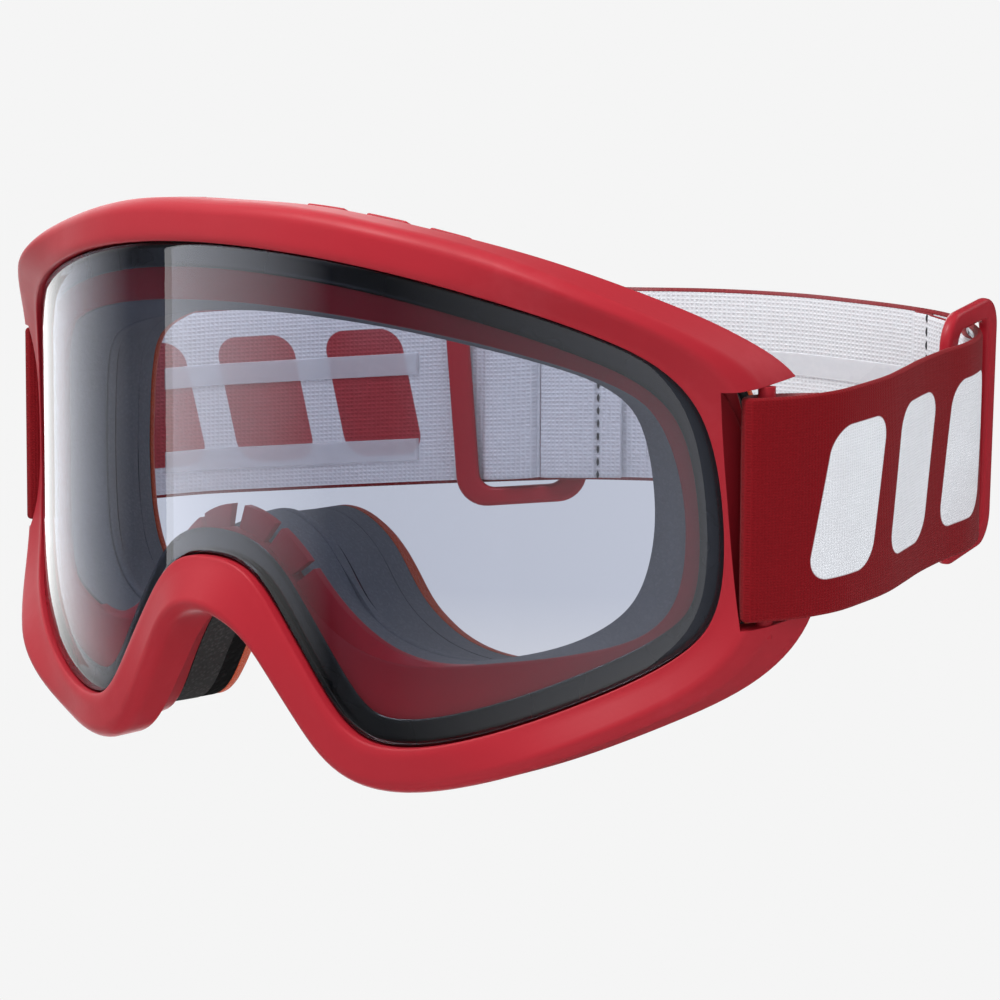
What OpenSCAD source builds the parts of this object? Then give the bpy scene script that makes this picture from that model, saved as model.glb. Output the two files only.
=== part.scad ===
// Strapped sports goggles: one cylindrical lens in a moulded frame with layered face foam,
// held by an elastic strap with two sliding adjusters.
// The wearer looks along -Y. The origin is where the foam meets the brow, at mid height.

/* [Lens] */
// Radius of the lens's outer surface
lens_r = 116.6; // [115:0.2:118]
// Thickness of the lens
lens_t = 1.6; // [1.2:0.1:1.8]
// Width of the printed band round the lens
border_w = 4.2; // [3:0.1:5]
// Gap between the lens's edge and the frame round it
lens_gap = 0.35; // [0.3:0.05:0.5]

/* [Frame] */
// Distance from the lens's front to the wearer's brow
seat_depth = 36; // [34:1:38]
// Radius that the back of the frame follows
rim_r = 125; // [120:1:130]
// Distance from the lens's front to the back of the frame, at the middle
rim_y = 20; // [19:0.5:21]
// Wall thickness of the moulded frame
wall_t = 2.2; // [1.8:0.1:2.4]
// How far the bezel stands in front of the lens's edge
lip_h = 1.4; // [1:0.1:1.8]
// Depth of the bezel's outer edge behind its front
skirt_d = 8; // [7:0.5:9]

/* [Face foam] */
// Radius of the foam's face side
face_r = 159; // [150:1:165]
// Share of the foam's thickness that the firm base layer takes
base_share = 0.55; // [0.5:0.01:0.6]
// Share at which the middle layer ends and the soft face layer starts
middle_share = 0.85; // [0.7:0.01:0.9]

/* [Strap] */
// Width of the strap
strap_w = 38; // [36:1:38]
// Thickness of the strap
strap_t = 1.6; // [1.2:0.1:1.8]
// Radius round the pivot that the strap's fixed end fills
loop_r = 24; // [23:0.5:25]
// Gap between the strap's fixed end and its swinging part
swing_gap = 0.5; // [0.4:0.1:1]
// Thickness of the silicone grip bands
grip_t = 0.4; // [0.3:0.1:0.5]

/* [Adjusters] */
// Length of an adjuster along the strap
buckle_l = 26; // [25:1:27]
// Height of an adjuster across the strap
buckle_h = 47; // [46:1:48]
// Width of an adjuster's bars
buckle_bar = 4.6; // [4:0.2:5]
// Half the gap between an adjuster and the strap's edge
buckle_gap = 0.4; // [0.3:0.05:0.6]

/* [Hidden] */
STEPS = 3;
side_angle = 51;
// Height of the strap's pivot line and its distance behind the lens's front
pivot_y = 45;
pivot_z = 2;
// Slant of the frame's side edges, top forward
side_slant = 6.7;
// How far the nose bridge's lower edge stands forward, and half its width
nose_out = 4;
nose_spread = 15;
// How far the bezel's outer edge stands forward at the temples, and between which widths it does so
flare = 4.8;
flare_from = 45;
flare_span = 30;
// How far a slot reaches below and above the strap
slot_low = 2.6;
slot_high = 0.9;
// Middle of a strap bar, across and behind the lens's front, its thickness, and its ends' distances
// below and above the pivot line
bar_x = 90.3;
bar_y = 42.4;
bar_d = 3;
bar_low = 22.2;
bar_high = 20.6;

// Half outlines, from the top middle round the wearer's left temple to the nose.
// The first five run along the lens's curve and up; the last three run across and up.
lens_half = [[0, 44], [18, 43.2], [36, 40.9], [54, 37], [71, 32], [85, 25.8], [93, 16.5],
    [96.2, 1], [95.6, -14.5], [89, -23], [73, -31], [55, -37.7], [40, -40.7], [30, -37.9],
    [20.5, -25.6], [10.5, -13], [0, -10.4]];
bezel_half = [[0, 51.7], [20, 51.2], [40, 48.1], [59, 43.9], [77, 38], [93.4, 31], [105.4, 21.8],
    [108.6, 3], [107.6, -16], [98, -28.4], [79, -37.6], [60, -44.8], [40.5, -49.3], [27, -46.6],
    [17.2, -35], [9.6, -24.6], [0, -20.2]];
wall_half = [[0, 50.2], [19, 49.6], [38, 46.6], [56, 42.3], [73, 36.4], [87, 29], [93.5, 20],
    [95, 2], [94.6, -15], [90, -26], [75, -35.4], [58, -43], [40.5, -47.6], [28.5, -45],
    [18.8, -33.6], [10.6, -22.6], [0, -18.4]];
seat_half = [[0, 33.5], [16, 33], [31, 31.6], [46, 29.4], [60, 26.4], [73, 22.3], [81, 16.5],
    [85.4, 3], [85, -12], [79.4, -20.2], [67.4, -24], [53, -26.2], [40, -27.5], [29.4, -26],
    [19.5, -20.5], [10.5, -10.5], [0, -6]];
rim_half = [[0, 45.5], [18, 44.8], [35, 42.5], [50, 38.5], [63, 33], [73, 26.5], [78.5, 18],
    [80.5, 2], [79.5, -14], [75, -27], [65, -38], [53, -45.5], [41, -47.5], [34, -43.5],
    [27.5, -33], [17.5, -22], [0, -15.5]];
open_half = [[0, 30.9], [14, 30.4], [28, 29.1], [41.2, 26.9], [52.4, 24.4], [61.2, 21.2],
    [66.8, 15.5], [69, 3], [68.6, -8], [65.6, -17], [58.2, -23], [48.8, -26.4], [38.4, -27.9],
    [27, -25.4], [17.5, -19], [10.3, -8.5], [0, -4]];

// The strap's route, seen from above, with its middle height: from the left bar round the back.
route = [[-91, 38.2, 2], [-94.2, 44.6, 2], [-96, 53, 2.1], [-95, 62, 2.4], [-91, 70, 2.8],
    [-82.5, 78.5, 3.8], [-70, 85, 5], [-57, 90.3, 6.3], [-44.5, 95.3, 7.5], [-35, 99, 8.4],
    [-26, 102.4, 9.2], [-17, 105.7, 10], [-8, 109, 10.7], [4, 114.6, 11], [17, 121, 11.1],
    [33, 124.6, 11], [47, 124.5, 10.7], [59, 124.6, 10.2], [69, 123.6, 9.5], [77, 119.6, 8.5],
    [83.2, 113.2, 7.5], [86.9, 105, 6.7], [88.4, 95.5, 6], [90.4, 86, 5.2], [92.8, 78, 4.5],
    [95, 70, 3.8], [96.4, 61, 3.2], [96.6, 53, 2.6], [94.2, 44.6, 2.1], [91, 38.2, 2]];
// How far round the bar the strap's turned-in end goes, behind the start of the route
turn_in = [[-89.2, 38.4], [-88, 40.2], [-87.6, 42.6], [-88.8, 46.2], [-91.2, 49.6], [-93.3, 52.8]];

// Places along the route, counted in its points
LOOP_END = 4;
LEFT_END = 11.1;
RIGHT_START = 18.9;
FOLD_LEFT = [11.15, 12.65];
FOLD_RIGHT = [17.3, 18.85];
BUCKLE_LEFT = 10.5;
BUCKLE_RIGHT = 19.5;
// Turn of each adjuster against the strap, and how far inwards the right one sits on its bend
TURN_LEFT = 16;
TURN_RIGHT = 28;
BEND_IN = 1.8;
ROUTE_END = len(route) - 1;

// One point of a smooth curve between b and c
function bend(a, b, c, d, t) = 0.5 * (2 * b + (c - a) * t + (2 * a - 5 * b + 4 * c - d) * t * t
    + (3 * b - a - 3 * c + d) * t * t * t);
function mirrored(half) = concat(half, [for (i = [len(half) - 2:-1:1]) [-half[i].x, half[i].y]]);
function closed_curve(half) = let (p = mirrored(half), n = len(p))
    [for (i = [0:n - 1]) for (j = [0:STEPS - 1])
        bend(p[(i + n - 1) % n], p[i], p[(i + 1) % n], p[(i + 2) % n], j / STEPS)];
function route_at(u) = let (i = min(floor(u), ROUTE_END - 1))
    bend(route[max(i - 1, 0)], route[i], route[i + 1], route[min(i + 2, ROUTE_END)], u - i);
// Moves a closed curve outwards by w
function grown(c, w) = let (n = len(c)) [for (i = [0:n - 1])
    let (t = c[(i + 1) % n] - c[(i + n - 1) % n], l = norm(t)) c[i] + w * [-t.y, t.x] / l];
function mixed(a, b, t) = [for (i = [0:len(a) - 1]) a[i] * (1 - t) + b[i] * t];
// A curve drawn on the lens's cylinder, then moved back by d
function on_lens(c, d) = [for (p = c) let (a = p.x / lens_r * 180 / PI)
    [lens_r * sin(a), lens_r * (1 - cos(a)) + d, p.y]];
// A curve drawn on a cylinder d inside the lens's
function inside_lens(c, d) = [for (p = c) let (a = p.x / lens_r * 180 / PI)
    [(lens_r - d) * sin(a), lens_r - (lens_r - d) * cos(a), p.y]];
// A curve drawn on the cylinder that the back of the frame follows, then moved back by e
function on_rim(c, e) = [for (p = c)
    [p.x, rim_y + rim_r - sqrt(rim_r * rim_r - p.x * p.x) + e, p.y]];
function on_face(c) = [for (p = c)
    [p.x, seat_depth + face_r - sqrt(face_r * face_r - p.x * p.x), p.y]];
// Draws the bridge of the nose and the temples forward on a curve in space
function bridged(c) = [for (p = c) let (s = min(max((abs(p.x) - flare_from) / flare_span, 0), 1))
    p - [0, flare * s * s * (3 - 2 * s) + (p.z < 0 ? nose_out * exp(-pow(p.x / nose_spread, 2)) : 0), 0]];
function across(c) = [for (p = c) [lens_r * sin(p.x / lens_r * 180 / PI), p.y]];

lens_line = closed_curve(lens_half);
bezel_line = closed_curve(bezel_half);
wall_line = closed_curve(wall_half);
seat_line = closed_curve(seat_half);
rim_line = closed_curve(rim_half);
open_line = closed_curve(open_half);
STATIONS = len(lens_line);

function quad(a, b, c, d) = [[a, b, c], [a, c, d]];

// A closed hoop whose cross-section is a loop of rails
module hoop(rails) {
    k = len(rails);
    n = len(rails[0]);
    polyhedron([for (r = rails) each r],
        [for (i = [0:k - 1]) for (j = [0:n - 1])
            each quad(i * n + j, ((i + 1) % k) * n + j, ((i + 1) % k) * n + (j + 1) % n,
                i * n + (j + 1) % n)],
        convexity = 12);
}

// A piece of such a hoop, from station a to station b, with four rails and flat ends
module hoop_part(rails, a, b) {
    n = len(rails[0]);
    cut = [for (r = rails) [for (j = [a:b]) r[(j + n) % n]]];
    m = b - a + 1;
    polyhedron([for (r = cut) each r],
        concat([for (i = [0:3]) for (j = [0:m - 2])
            each quad(i * m + j, ((i + 1) % 4) * m + j, ((i + 1) % 4) * m + j + 1, i * m + j + 1)],
            quad(3 * m, 2 * m, m, 0),
            quad(m - 1, 2 * m - 1, 3 * m - 1, 4 * m - 1)),
        convexity = 12);
}

// An upright band along a path of [x, y, middle height]: shifted sideways, low and high edge given
module band(path, side, thick, low, high) {
    n = len(path);
    turn = [for (i = [0:n - 1]) let (t = path[min(i + 1, n - 1)] - path[max(i - 1, 0)],
        l = norm([t.x, t.y])) [t.y, -t.x] / l];
    function edge(off, h) = [for (i = [0:n - 1])
        [path[i].x + turn[i].x * off, path[i].y + turn[i].y * off, path[i].z + h]];
    rails = [edge(side - thick / 2, low), edge(side + thick / 2, low),
        edge(side + thick / 2, high), edge(side - thick / 2, high)];
    polyhedron([for (r = rails) each r],
        concat([for (i = [0:3]) for (j = [0:n - 2])
            each quad(i * n + j, i * n + j + 1, ((i + 1) % 4) * n + j + 1, ((i + 1) % 4) * n + j)],
            quad(0, n, 2 * n, 3 * n),
            quad(4 * n - 1, 3 * n - 1, 2 * n - 1, n - 1)),
        convexity = 12);
}

function stretch(a, b, per = 2) = let (n = max(2, ceil((b - a) * per)))
    [for (i = [0:n]) route_at(a + (b - a) * i / n)];

module seated() {
    translate([0, -seat_depth, 0]) children();
}

// A round space across the whole object, centred on the strap's pivot line
module pivot_round(r) {
    translate([0, pivot_y, pivot_z]) rotate([0, 90, 0]) cylinder(r = r, h = 260, center = true, $fn = 96);
}

module mirror_pair() {
    children();
    mirror([1, 0, 0]) children();
}

// Everything outside the slot's inner edge, on one side
module slot_cut() {
    translate([87.6, 36.1, pivot_z]) rotate([side_slant, 0, 0]) rotate([0, 0, side_angle])
        translate([0, -20, -strap_w / 2 - slot_low]) cube([40, 40, strap_w + slot_low + slot_high]);
}

module front_bezel() {
    hole = grown(lens_line, lens_gap);
    back = lens_t + 0.6;
    color([0.72, 0.13, 0.17]) seated() difference() {
        hoop([on_lens(hole, -lip_h), on_lens(mixed(hole, bezel_line, 0.15), -lip_h - 0.5),
            bridged(on_lens(mixed(hole, bezel_line, 0.82), -lip_h - 0.2)),
            bridged(on_lens(bezel_line, 0.8)),
            on_lens(grown(bezel_line, -0.2), skirt_d), on_lens(grown(bezel_line, -wall_t), skirt_d),
            on_lens(grown(bezel_line, -wall_t - 0.4), back), on_lens(hole, back)]);
        mirror_pair() slot_cut();
    }
}

module lens_seat() {
    front = lens_t + 0.8;
    outer = grown(lens_line, 1);
    color([0.62, 0.1, 0.14]) seated()
        hoop([inside_lens(outer, front), inside_lens(grown(lens_line, -3), front), on_lens(seat_line, 5.6),
            on_lens(seat_line, 7), on_lens(grown(lens_line, -3), 7), on_lens(outer, 7)]);
}

module rear_frame() {
    start = skirt_d + 0.1;
    color([0.68, 0.12, 0.16]) seated()
        hoop([on_lens(wall_line, start), on_rim(rim_line, 0), on_rim(open_line, 0),
            on_rim(open_line, -wall_t), on_rim(grown(rim_line, -wall_t), -wall_t),
            on_lens(grown(wall_line, -wall_t), start)]);
}

module lens_gasket() {
    near = lens_t + 0.3;
    far = lens_t + 0.7;
    color([0.08, 0.08, 0.09]) seated()
        hoop([inside_lens(grown(lens_line, -1.8), near), inside_lens(grown(lens_line, -0.1), near),
            inside_lens(grown(lens_line, -0.1), far), inside_lens(grown(lens_line, -1.8), far)]);
}

// A sheet of the lens's curve between two depths, cut to an outline given across and up
module lens_sheet(front, back) {
    intersection() {
        translate([0, lens_r, -60]) difference() {
            cylinder(r = lens_r - front, h = 120, $fn = 200);
            translate([0, 0, -1]) cylinder(r = lens_r - back, h = 122, $fn = 200);
        }
        translate([0, 60, 0]) rotate([90, 0, 0]) linear_extrude(height = 80) children();
    }
}

module lens() {
    color([0.75, 0.8, 0.88, 0.35]) seated() lens_sheet(0, lens_t) polygon(across(lens_line));
}

module lens_border() {
    color([0.1, 0.11, 0.12]) seated() lens_sheet(lens_t + 0.02, lens_t + 0.17) difference() {
        polygon(across(grown(lens_line, -0.3)));
        polygon(across(grown(lens_line, -border_w)));
    }
}

// Raised bars over the top vents, in a short row each side of the middle and one at each temple
module top_vent_ribs() {
    color([0.72, 0.13, 0.17]) seated() mirror_pair() {
        for (k = [0:2])
            hoop_part(vent_rails(), 2 + 2 * k, 3 + 2 * k);
        hoop_part(vent_rails(), 13, 14);
    }
}

function vent_rails() = let (a = on_lens(wall_line, skirt_d + 0.1), b = on_rim(rim_line, 0),
    near = mixed(a, b, 0.2), far = mixed(a, b, 0.75), up = [0, 0, 2.4])
    [near, [for (p = near) p + up], [for (p = far) p + up], far];

// Short teeth of the lens seat round the nose, with the vents between them
module nose_vent_ribs() {
    inner = grown(seat_line, -2.6);
    color([0.66, 0.11, 0.15]) seated() mirror_pair() for (k = [0:3])
        hoop_part([on_lens(grown(seat_line, -0.05), 5.7), on_lens(inner, 6.6), on_lens(inner, 8.2),
            on_lens(grown(seat_line, -0.05), 6.9)], 38 + 2 * k + (k > 1 ? 1 : 0), 39 + 2 * k + (k > 1 ? 1 : 0));
}

// The inner side of the frame's back flange, from its opening outwards, kept clear by gap
function flange(share, gap) = [for (p = mixed(on_rim(open_line, -wall_t),
    on_rim(grown(rim_line, -wall_t), -wall_t), share)) p - [0, gap, 0]];
function liner_rails() = [on_lens(seat_line, 7.1), flange(0, 0.15), flange(0.12, 0.15),
    on_lens(grown(seat_line, 1.2), 9.6)];

TEMPLE = 23;
module vent_foam_upper() {
    color([0.34, 0.35, 0.36]) seated() hoop_part(liner_rails(), -TEMPLE, TEMPLE);
}

module vent_foam_lower() {
    color([0.3, 0.31, 0.32]) seated() hoop_part(liner_rails(), TEMPLE + 1, STATIONS - TEMPLE - 1);
}

// Gap between two layers of the face foam, as a share of its thickness
glue_gap = 0.03;

// One layer of the face foam, between two shares of its thickness
module foam_layer(from, to) {
    gap = 0.35;
    function level(share, t) = mixed(mixed(on_rim(rim_line, gap), on_rim(open_line, gap), share),
        mixed(on_face(rim_line), on_face(open_line), share), t);
    outer = 0.06;
    inner = 0.92;
    seated() hoop([level(outer, from), level(outer, to), level(inner, to), level(inner, from)]);
}

module face_foam_base() {
    color([0.24, 0.23, 0.23]) foam_layer(0, base_share);
}

module face_foam_middle() {
    color([0.08, 0.08, 0.08]) foam_layer(base_share + glue_gap, middle_share);
}

module face_foam_fleece() {
    color([0.8, 0.3, 0.1]) foam_layer(middle_share + glue_gap, 1);
}

// The upright bar that the strap's end goes round
module strap_bar() {
    color([0.72, 0.13, 0.17]) seated() translate([bar_x, bar_y, pivot_z - bar_low])
        cylinder(d = bar_d, h = bar_low + bar_high, $fn = 32);
}

module strap_bar_right() {
    strap_bar();
}

module strap_bar_left() {
    mirror([1, 0, 0]) strap_bar();
}

// The sewn end of the strap: in through the slot, round the bar and back out
module strap_loop() {
    inside = [for (i = [len(turn_in) - 1:-1:0]) [turn_in[i].x, turn_in[i].y, pivot_z]];
    color([0.5, 0.06, 0.1]) seated() intersection() {
        band(concat(inside, stretch(0, LOOP_END, 3)), 0, strap_t, -strap_w / 2, strap_w / 2);
        pivot_round(loop_r);
    }
}

module strap_loop_left() {
    strap_loop();
}

module strap_loop_right() {
    mirror([1, 0, 0]) strap_loop();
}

module strap_run(a, b) {
    seated() difference() {
        band(stretch(a, b), 0, strap_t, -strap_w / 2, strap_w / 2);
        pivot_round(loop_r + swing_gap);
    }
}

module strap_side_left() {
    color([0.5, 0.06, 0.1]) strap_run(2, LEFT_END);
}

module strap_side_right() {
    color([0.5, 0.06, 0.1]) strap_run(RIGHT_START, ROUTE_END - 2);
}

module strap_rear() {
    color([0.5, 0.06, 0.1]) strap_run(LEFT_END + 0.01, RIGHT_START - 0.01);
}

module fold(span) {
    color([0.85, 0.86, 0.88]) seated()
        band(stretch(span[0], span[1], 4), strap_t + 0.3, strap_t, -strap_w / 2 + 0.5, strap_w / 2 - 0.5);
}

module strap_fold_left() {
    fold(FOLD_LEFT);
}

module strap_fold_right() {
    fold(FOLD_RIGHT);
}

// Two silicone lines on the strap's inner face
module grip_bands(a, b) {
    color([0.9, 0.91, 0.93]) seated() for (z = [5.4, -11.8])
        band(stretch(a, b), strap_t / 2 + grip_t / 2 + 0.12, grip_t, z - 2.2, z + 2.2);
}

module grip_bands_left() {
    grip_bands(4.3, 8.4);
}

module grip_bands_right() {
    grip_bands(22.9, 24.3);
}

module grip_bands_rear() {
    grip_bands(13, 17);
}

// Adjuster: a flat ring, with its front end bar inside the strap and its rear end bar outside
module buckle(turn, inwards) {
    rail_z = strap_w / 2 + 2 * buckle_gap;
    bar_t = 2.4;
    translate([0, inwards, 0]) rotate([90, 0, turn]) linear_extrude(height = bar_t, center = true)
        difference() {
            rounded(buckle_l, buckle_h, 6);
            rounded(buckle_l - 2 * buckle_bar, 2 * rail_z, 3);
        }
}

module rounded(w, h, r) {
    for (x = [-1, 1]) for (y = [-1, 1])
        translate([x * (w / 2 - r), y * (h / 2 - r)]) circle(r = r, $fn = 48);
    square([w - 2 * r, h], center = true);
    square([w, h - 2 * r], center = true);
}

// Puts an adjuster on the strap at u, in line with it
module on_route(u) {
    p = route_at(u);
    t = route_at(u + 0.5) - route_at(u - 0.5);
    seated() translate(p) rotate([0, 0, atan2(t.y, t.x)]) rotate([0, -atan2(t.z, norm([t.x, t.y])), 0])
        mirror([0, 1, 0]) children();
}

module buckle_left() {
    color([0.74, 0.14, 0.18]) on_route(BUCKLE_LEFT) buckle(-TURN_LEFT, 0);
}

module buckle_right() {
    color([0.74, 0.14, 0.18]) on_route(BUCKLE_RIGHT) buckle(TURN_RIGHT, BEND_IN);
}

front_bezel();
lens_seat();
rear_frame();
lens_gasket();
lens();
lens_border();
top_vent_ribs();
nose_vent_ribs();
vent_foam_upper();
vent_foam_lower();
face_foam_base();
face_foam_middle();
face_foam_fleece();
strap_bar_right();
strap_bar_left();
strap_loop_right();
strap_loop_left();
strap_side_right();
strap_side_left();
strap_rear();
strap_fold_right();
strap_fold_left();
grip_bands_right();
grip_bands_left();
grip_bands_rear();
buckle_right();
buckle_left();
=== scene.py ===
"""Strapped sports goggles: clear cylindrical lens, moulded frame, layered face foam, woven strap."""

import math

import bmesh
import bpy
import numpy as np
from bpy.props import FloatProperty, FloatVectorProperty, IntProperty, PointerProperty
from mathutils import Matrix, Vector, noise


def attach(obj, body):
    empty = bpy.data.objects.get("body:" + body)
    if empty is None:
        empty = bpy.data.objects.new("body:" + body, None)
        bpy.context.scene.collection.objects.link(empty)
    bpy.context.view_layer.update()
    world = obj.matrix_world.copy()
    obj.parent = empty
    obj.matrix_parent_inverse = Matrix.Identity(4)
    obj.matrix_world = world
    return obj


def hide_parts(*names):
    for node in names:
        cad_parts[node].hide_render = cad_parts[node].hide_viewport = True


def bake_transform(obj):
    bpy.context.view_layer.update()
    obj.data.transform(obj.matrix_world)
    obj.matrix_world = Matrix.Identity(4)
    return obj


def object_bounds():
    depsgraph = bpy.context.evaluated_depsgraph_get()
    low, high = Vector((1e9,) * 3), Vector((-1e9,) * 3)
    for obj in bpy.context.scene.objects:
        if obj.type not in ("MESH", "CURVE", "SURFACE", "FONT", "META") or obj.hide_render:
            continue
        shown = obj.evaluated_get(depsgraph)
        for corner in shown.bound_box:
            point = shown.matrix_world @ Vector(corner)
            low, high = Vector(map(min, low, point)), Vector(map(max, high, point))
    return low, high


bl_info = {
    "name": "Strapped Sports Goggles",
    "version": (1, 0, 0),
    "blender": (4, 5, 0),
    "location": "View3D > Sidebar > Goggles",
    "description": "Dresses a pair of strapped sports goggles with moulded, woven and foam pieces",
    "category": "Add Mesh",
}

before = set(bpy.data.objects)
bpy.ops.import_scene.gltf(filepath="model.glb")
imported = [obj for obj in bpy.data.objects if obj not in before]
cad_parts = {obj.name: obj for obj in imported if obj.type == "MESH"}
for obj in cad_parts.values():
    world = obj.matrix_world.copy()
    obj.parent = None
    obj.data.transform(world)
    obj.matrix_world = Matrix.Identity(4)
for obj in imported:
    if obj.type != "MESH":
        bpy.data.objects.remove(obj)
cad_low, cad_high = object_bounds()

# ---------------------------------------------------------------- sizes, in millimetres
# Outlines, curves and depths are measured from the lens's front middle, with +Y backwards.
SEAT_DEPTH = 36.0
LENS_R = 116.6
LENS_T = 1.6
LENS_GAP = 0.35
LIP_H = 1.4
SKIRT_D = 8.0
WALL_T = 2.2
RIM_R = 125.0
RIM_Y = 20.0
FACE_R = 159.0
NOSE_OUT = 4.0
NOSE_SPREAD = 15.0
FLARE = 4.8
FLARE_FROM = 45.0
FLARE_SPAN = 30.0
SIDE_ANGLE = 51.0
SIDE_SLANT = 6.7
PIVOT_Z = 2.0
STRAP_W = 38.0
STRAP_T = 1.6
# A strap slot's inner edge, how far the cut goes, and what it leaves below and above the strap
SLOT_X, SLOT_Y = 87.6, 36.1
SLOT_REACH = 40.0
SLOT_LOW = 1.4
SLOT_HIGH = 0.9
# The lens's shelf, from its front to its back
SHELF_FRONT, SHELF_BACK = 5.6, 7.0
# Vent bars above and below, as spans of stations on the right half
TOP_BARS = [(6 + 6 * k, 10 + 6 * k) for k in range(3)] + [(39, 42)]
TOP_BAR_H = 2.4
NOSE_TEETH = [(102, 131), (132, 137), (138, 143)]
# How far a tooth stands out, and the stations from the nose over which it shrinks to nothing
TOOTH_OUT, TOOTH_FAR, TOOTH_FADE = 4.0, 42, 26
TURN_LEFT = -16.0
TURN_RIGHT = 28.0
BEND_IN = 1.8
PER_CAD_STEP = 3  # stations here for each station of the frame's own outlines
STEPS = 3 * PER_CAD_STEP

LENS_HALF = [[0, 44], [18, 43.2], [36, 40.9], [54, 37], [71, 32], [85, 25.8], [93, 16.5], [96.2, 1],
    [95.6, -14.5], [89, -23], [73, -31], [55, -37.7], [40, -40.7], [30, -37.9], [20.5, -25.6],
    [10.5, -13], [0, -10.4]]
BEZEL_HALF = [[0, 51.7], [20, 51.2], [40, 48.1], [59, 43.9], [77, 38], [93.4, 31], [105.4, 21.8],
    [108.6, 3], [107.6, -16], [98, -28.4], [79, -37.6], [60, -44.8], [40.5, -49.3], [27, -46.6],
    [17.2, -35], [9.6, -24.6], [0, -20.2]]
WALL_HALF = [[0, 50.2], [19, 49.6], [38, 46.6], [56, 42.3], [73, 36.4], [87, 29], [93.5, 20], [95, 2],
    [94.6, -15], [90, -26], [75, -35.4], [58, -43], [40.5, -47.6], [28.5, -45], [18.8, -33.6],
    [10.6, -22.6], [0, -18.4]]
SEAT_HALF = [[0, 33.5], [16, 33], [31, 31.6], [46, 29.4], [60, 26.4], [73, 22.3], [81, 16.5],
    [85.4, 3], [85, -12], [79.4, -20.2], [67.4, -24], [53, -26.2], [40, -27.5], [29.4, -26],
    [19.5, -20.5], [10.5, -10.5], [0, -6]]
RIM_HALF = [[0, 45.5], [18, 44.8], [35, 42.5], [50, 38.5], [63, 33], [73, 26.5], [78.5, 18],
    [80.5, 2], [79.5, -14], [75, -27], [65, -38], [53, -45.5], [41, -47.5], [34, -43.5],
    [27.5, -33], [17.5, -22], [0, -15.5]]
OPEN_HALF = [[0, 30.9], [14, 30.4], [28, 29.1], [41.2, 26.9], [52.4, 24.4], [61.2, 21.2],
    [66.8, 15.5], [69, 3], [68.6, -8], [65.6, -17], [58.2, -23], [48.8, -26.4], [38.4, -27.9],
    [27, -25.4], [17.5, -19], [10.3, -8.5], [0, -4]]
ROUTE = [[-91, 38.2, 2], [-94.2, 44.6, 2], [-96, 53, 2.1], [-95, 62, 2.4], [-91, 70, 2.8],
    [-82.5, 78.5, 3.8], [-70, 85, 5], [-57, 90.3, 6.3], [-44.5, 95.3, 7.5], [-35, 99, 8.4],
    [-26, 102.4, 9.2], [-17, 105.7, 10], [-8, 109, 10.7], [4, 114.6, 11], [17, 121, 11.1],
    [33, 124.6, 11], [47, 124.5, 10.7], [59, 124.6, 10.2], [69, 123.6, 9.5], [77, 119.6, 8.5],
    [83.2, 113.2, 7.5], [86.9, 105, 6.7], [88.4, 95.5, 6], [90.4, 86, 5.2], [92.8, 78, 4.5],
    [95, 70, 3.8], [96.4, 61, 3.2], [96.6, 53, 2.6], [94.2, 44.6, 2.1], [91, 38.2, 2]]
TURN_IN = [[-93.3, 52.8], [-91.2, 49.6], [-88.8, 46.2], [-87.6, 42.6], [-88, 40.2], [-89.2, 38.4]]
LEFT_END = 11.1
RIGHT_START = 18.9
BUCKLE_AT = {"left": 10.5, "right": 19.5}
BUCKLE_L, BUCKLE_H, BUCKLE_BAR, BUCKLE_T = 26.0, 47.0, 4.6, 2.4
BUCKLE_WINDOW_H = 39.6
# Where the woven figure ends on the left side, and starts and ends on the right one
FIGURE_ENDS = (9.1, 20.4, 28.0)
# Doubled webbing at each adjuster: how far each kind swells, and its start, end and depth inside at both
SWELLS = (("roll", 2.0), ("fold", 1.5), ("flap", 0.0))
DOUBLED = {"left": ((9.86, 11.02, 0.7, 0.2), (11.12, 12.3, 0.2, 1.9), (12.27, 12.65, 1.9, 1.7)),
           "right": ((18.98, 20.3, 0.5, 0.4), (17.7, 18.88, 1.9, 0.2), (17.3, 17.73, 1.7, 1.9))}
PLAIN_FROM = 9.3  # place past the left side's figure, from where doubled webbing takes its plain weave
SEAM_AT = {"left": 12.32, "right": 17.68}
# Silicone lines: their stretches, middle heights, width and thickness
GRIPS = (("left", 4.3, 8.4), ("rear", 13.0, 17.0), ("right", 22.9, 24.3))
GRIP_HEIGHTS = (5.4, -11.8)
GRIP_W = 4.4
GRIP_T = 0.4


# ---------------------------------------------------------------- curves
def bend(a, b, c, d, t):
    """One point of a smooth curve between b and c."""
    return 0.5 * (2 * b + (c - a) * t + (2 * a - 5 * b + 4 * c - d) * t * t
                  + (3 * b - a - 3 * c + d) * t * t * t)


def closed_curve(half):
    """The whole outline from its half, as finely spaced stations."""
    p = np.array(half + [[-x, z] for x, z in half[-2:0:-1]], float)
    n = len(p)
    return np.array([bend(p[i - 1], p[i], p[(i + 1) % n], p[(i + 2) % n], j / STEPS)
                     for i in range(n) for j in range(STEPS)])


def eased(curve, rounds=10):
    """Irons small waves out of a closed curve."""
    for _ in range(rounds):
        curve = 0.25 * np.roll(curve, 1, 0) + 0.5 * curve + 0.25 * np.roll(curve, -1, 0)
    return curve


def grown(curve, width):
    """A closed curve moved outwards by width."""
    t = np.roll(curve, -1, 0) - np.roll(curve, 1, 0)
    t /= np.linalg.norm(t, axis=1)[:, None]
    return curve + width * np.stack([-t[:, 1], t[:, 0]], 1)


def mixed(a, b, share):
    """The curve that lies this share of the way from a to b."""
    return a * (1 - share) + b * share


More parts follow.
